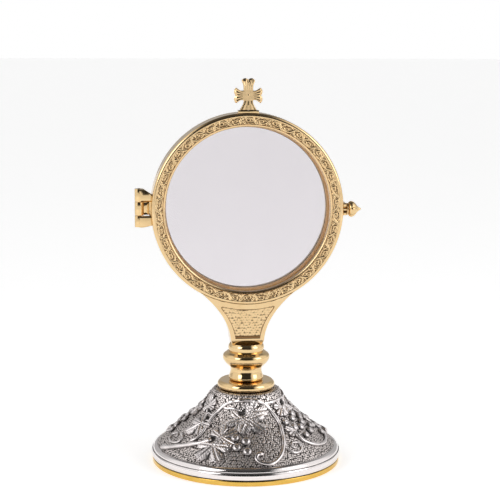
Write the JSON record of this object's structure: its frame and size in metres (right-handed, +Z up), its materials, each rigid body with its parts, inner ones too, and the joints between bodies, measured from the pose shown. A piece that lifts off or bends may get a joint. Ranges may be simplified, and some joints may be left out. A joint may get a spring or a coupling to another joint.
{
  "type": "monstrance",
  "caption": "Chapel monstrance: round glazed case with a small cross on top, a hinged rear door closed by a bud knob, flared neck, knopped stem and bell foot with vine relief.",
  "frame": {"origin": "centre of the base on the surface it stands on, which is the bottom of the bounding box", "axes": "+Z up through the stem; the front window faces -Y; the hinge is on the -X side and the closing knob on the +X side"},
  "size_m": [0.1956, 0.1656, 0.3341],
  "materials": {
    "gold_polished": "cast brass, polished and gold plated",
    "gold_chased": "cast brass, chased with scrolls and hammered panels, gold plated",
    "silver_antique": "cast brass, silver plated, relief polished and ground stippled and darkened",
    "glass": "clear flat pane",
    "steel": "plain turned steel"
  },
  "bodies": {
    "stand": {"base_ring": "gold_polished", "foot": "silver_antique", "flange": "gold_polished", "spool": "gold_polished", "knop": "gold_polished", "collar": "gold_polished", "tie_rod": "steel", "rod_washer": "steel", "rod_nut": "steel", "front_frame": "gold_chased", "front_glass": "glass", "front_retaining_ring": "gold_polished", "frame_hinge_leaf": "gold_polished", "hinge_pin": "gold_polished", "closure_stud": "gold_polished", "cross_pad": "gold_polished", "cross": "gold_chased", "cross_pin": "steel"},
    "door": {"door_ring": "gold_chased", "door_glass": "glass", "door_retaining_ring": "gold_polished", "door_hinge_leaf": "gold_polished", "closure_lug": "gold_polished"},
    "clamp": {"closure_washer": "gold_polished"},
    "knob": {"closure_knob": "gold_polished"}
  },
  "joints": [
    {"name": "door_swing", "type": "hinge", "parent": "stand", "child": "door", "pos_m": [-0.0925, 0, 0.2237], "axis": [0, 0, 1], "range_deg": [0, 135]},
    {"name": "clamp_slide", "type": "slide", "parent": "stand", "child": "clamp", "axis": [1, 0, 0], "range_m": [0, 0.0024]},
    {"name": "knob_turn", "type": "hinge", "parent": "clamp", "child": "knob", "pos_m": [0.0875, -0.0038, 0.2214], "axis": [1, 0, 0], "range_deg": [0, 1080]}
  ],
  "couplings": [
    {"joint": "clamp_slide", "follows": "knob_turn", "m_per_rad": 0.0001273}
  ]
}
